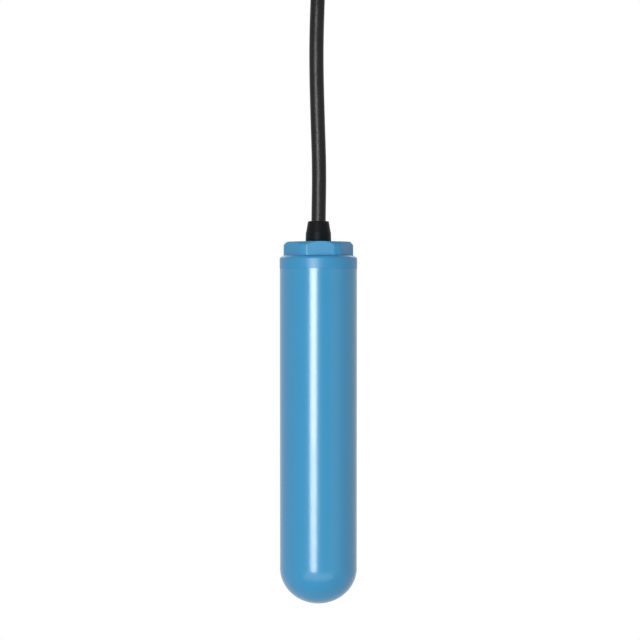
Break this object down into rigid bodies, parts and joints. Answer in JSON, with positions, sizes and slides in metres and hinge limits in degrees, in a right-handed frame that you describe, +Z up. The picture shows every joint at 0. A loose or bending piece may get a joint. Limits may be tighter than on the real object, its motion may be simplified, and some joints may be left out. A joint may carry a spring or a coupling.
{
  "type": "cable float switch",
  "caption": "Slim tubular float that hangs on its own round cable, with a hexagon cap and bend protector, and an inner steel ball that tips a small snap-action switch.",
  "frame": {"origin": "on the cable's axis, halfway along the straight stretch of sheath near its upper end that is gripped", "axes": "+Z up along the float's axis towards the cable's free end; the float hangs below the origin; -Y is the side that the picture shows"},
  "size_m": [0.0292, 0.0292, 0.2782],
  "materials": {
    "blue_polypropylene": "satin",
    "black_rubber": "matte",
    "nitrile_rubber": "satin",
    "black_cable_sheath": "gloss",
    "crimped_steel": "satin",
    "casting_resin": "satin",
    "carrier_plastic": "matte",
    "ball_steel": "polished",
    "switch_plastic": "satin",
    "switch_cover_plastic": "satin",
    "spring_steel": "satin",
    "plunger_plastic": "satin",
    "shrink_sleeve": "satin",
    "tinned_copper": "satin",
    "terminal_brass": "satin",
    "brown_insulation": "satin",
    "blue_insulation": "satin",
    "black_insulation": "satin"
  },
  "bodies": {
    "float": {"float_body": "blue_polypropylene", "end_cap": "blue_polypropylene", "cap_seal": "nitrile_rubber", "bend_protector": "black_rubber", "cable": "black_cable_sheath", "cable_anchor_ring": "crimped_steel", "potting_compound": "casting_resin", "carrier_front": "carrier_plastic", "carrier_back": "carrier_plastic", "ball_bumper": "nitrile_rubber", "switch_base": "switch_plastic", "switch_cover": "switch_cover_plastic", "lever_pin": "spring_steel", "lead_sleeves": "shrink_sleeve", "core_ferrules": "tinned_copper", "lead_brown": "brown_insulation", "core_end_brown": "brown_insulation", "terminal_brown": "terminal_brass", "lead_blue": "blue_insulation", "core_end_blue": "blue_insulation", "terminal_blue": "terminal_brass", "lead_black": "black_insulation", "core_end_black": "black_insulation", "terminal_black": "terminal_brass"},
    "ball": {"steel_ball": "ball_steel"},
    "lever": {"switch_lever": "spring_steel"},
    "plunger": {"switch_plunger": "plunger_plastic"}
  },
  "joints": [
    {"name": "ball_roll", "type": "slide", "parent": "float", "child": "ball", "axis": [0, 0, 1], "range_m": [0, 0.026]},
    {"name": "lever_press", "type": "hinge", "parent": "float", "child": "lever", "pos_m": [-0.0078, 0, -0.1664], "axis": [0, -1, 0], "range_deg": [0, 8], "stiffness_Nm_per_rad": 0.006, "springref_deg": -2.86},
    {"name": "plunger_press", "type": "slide", "parent": "float", "child": "plunger", "axis": [0, 0, 1], "range_m": [0, 0.00054]}
  ],
  "couplings": [
    {"joint": "plunger_press", "follows": "lever_press", "m_per_rad": 0.0038671}
  ]
}
